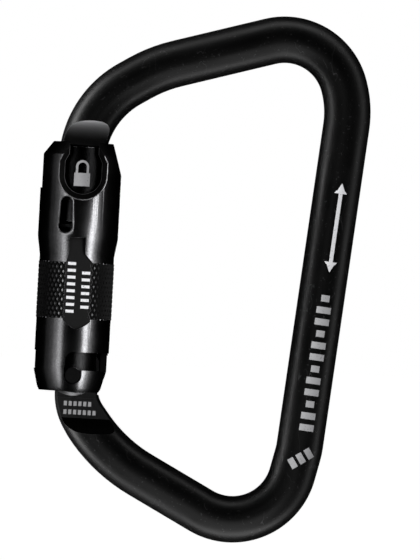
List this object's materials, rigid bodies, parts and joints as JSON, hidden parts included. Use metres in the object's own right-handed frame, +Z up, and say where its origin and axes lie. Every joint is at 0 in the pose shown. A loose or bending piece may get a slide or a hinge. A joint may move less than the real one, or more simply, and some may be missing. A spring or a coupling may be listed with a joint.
{
  "type": "locking carabiner",
  "caption": "Steel locking carabiner: bent round-bar frame, hinged gate and a spring-loaded pull-down, quarter-turn locking sleeve.",
  "frame": {"origin": "anchor saddle: the highest point of the inner side of the top bow, where an anchor bears", "axes": "+Z runs up along the closed gate, from the hinge towards the nose. +X runs from the gate towards the spine. -Y is the front, which shows the rivet's end and the sleeve's scoop"},
  "size_m": [0.0839, 0.0208, 0.1362],
  "materials": {
    "frame_black": "satin black coat over steel, lightly scuffed",
    "gate_steel": "black oxide over an uneven cast steel surface, glossy",
    "rivet_black": "black steel",
    "pin_steel": "turned steel",
    "spring_steel": "drawn spring wire",
    "sleeve_black": "black anodised, satin with long highlights, knurled band"
  },
  "bodies": {
    "frame": {"frame": "frame_black"},
    "gate": {"gate_body": "gate_steel", "hinge_rivet": "rivet_black", "latch_pin": "pin_steel", "gate_spring": "spring_steel", "sleeve_spring": "spring_steel"},
    "plunger": {"gate_plunger": "pin_steel"},
    "sleeve_carriage": {"thrust_washer": "pin_steel"},
    "sleeve": {"lock_sleeve": "sleeve_black"}
  },
  "joints": [
    {"name": "gate_swing", "type": "hinge", "parent": "frame", "child": "gate", "pos_m": [-0.05058, 0, -0.08323], "axis": [0, 1, 0], "range_deg": [0, 27], "stiffness_Nm_per_rad": 0.4, "springref_deg": -34.38},
    {"name": "plunger_travel", "type": "slide", "parent": "gate", "child": "plunger", "axis": [0, 0, 1], "range_m": [0, 0.001], "deforming": ["gate_spring"]},
    {"name": "sleeve_lift", "type": "slide", "parent": "gate", "child": "sleeve_carriage", "axis": [0, 0, 1], "range_m": [-0.0034, 0], "stiffness_N_per_m": 600, "springref_m": 0.01, "deforming": ["sleeve_spring"]},
    {"name": "sleeve_twist", "type": "hinge", "parent": "sleeve_carriage", "child": "sleeve", "pos_m": [-0.05128, 0, -0.05743], "axis": [0, 0, 1], "range_deg": [-90, 0], "stiffness_Nm_per_rad": 0.02, "springref_deg": 28.65}
  ],
  "couplings": [
    {"joint": "plunger_travel", "follows": "gate_swing", "m_per_rad": 0.002}
  ]
}
